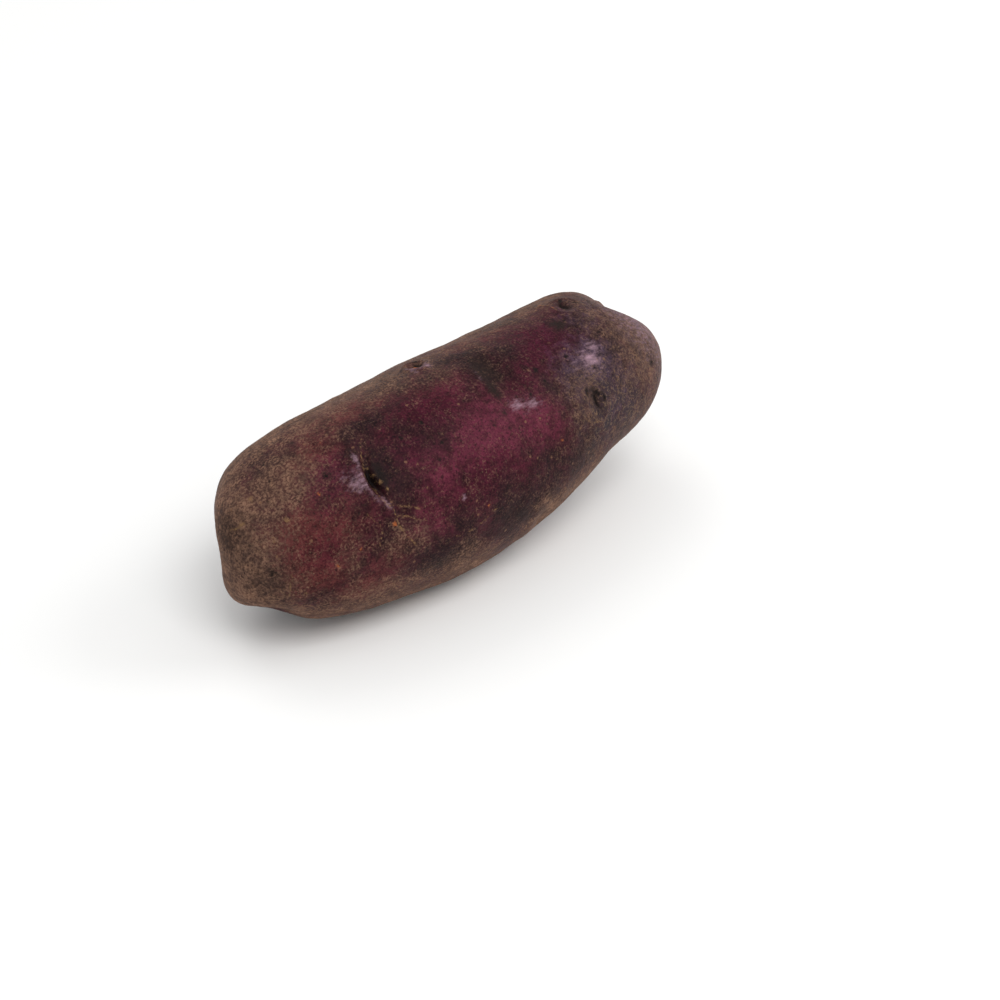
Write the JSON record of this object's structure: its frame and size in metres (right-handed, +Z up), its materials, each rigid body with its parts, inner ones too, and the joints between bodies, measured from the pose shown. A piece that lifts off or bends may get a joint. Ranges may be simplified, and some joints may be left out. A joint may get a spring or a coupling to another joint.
{
  "type": "purple potato",
  "caption": "Oblong purple-skinned potato lying on its belly, slightly bowed, with sunken eyes under raised brows and a hollow where its stolon joined.",
  "frame": {"origin": "middle of the tuber's outline seen from above, at the height of the surface that it rests on", "axes": "+X along the tuber from its stem end to its bud end, +Y across it, +Z up"},
  "size_m": [0.1134, 0.0448, 0.0411],
  "materials": {
    "purple_skin": null
  },
  "bodies": {
    "root": {"potato": "purple_skin"}
  },
  "joints": []
}
